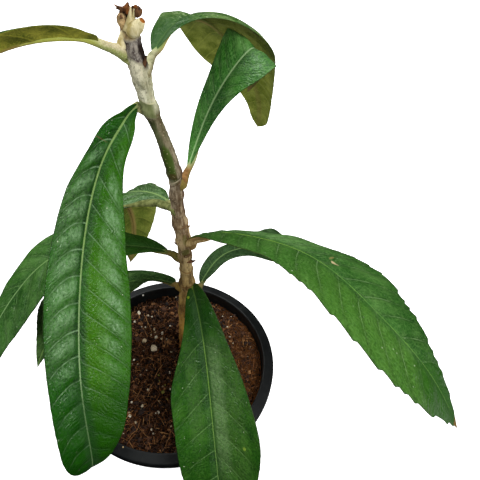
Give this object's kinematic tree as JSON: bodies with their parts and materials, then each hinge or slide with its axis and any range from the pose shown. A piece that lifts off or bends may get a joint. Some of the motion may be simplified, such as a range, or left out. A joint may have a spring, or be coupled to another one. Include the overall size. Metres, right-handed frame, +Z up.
{
  "type": "potted loquat sapling",
  "caption": "Young loquat plant with long arching quilted leaves on one woody stem, standing in a round black nursery pot of growing mix.",
  "frame": {"origin": "centre of the pot's underside, on the surface that it stands on", "axes": "+Z up along the pot's axis; -Y is the front, where the long front leaves arch forward; +X is right, where the long right leaf points"},
  "size_m": [0.3151, 0.2837, 0.4136],
  "materials": {
    "pot_plastic": "black moulded nursery plastic, satin",
    "growing_mix": "damp brown coir and peat fibres with white perlite",
    "bark": "grey-brown young bark, pale and woolly near the top",
    "leaf": "glossy dark green quilted upper side, olive felted underside, pale green midrib"
  },
  "bodies": {
    "root": {"pot": "pot_plastic", "soil": "growing_mix", "stem": "bark", "leaf_top_left": "leaf", "leaf_top_right": "leaf", "leaf_upper_right": "leaf", "leaf_mid_left": "leaf", "leaf_front_left": "leaf", "leaf_low_left": "leaf", "leaf_front": "leaf", "leaf_long_right": "leaf", "leaf_back_right": "leaf", "leaf_lowest_left": "leaf"}
  },
  "joints": []
}
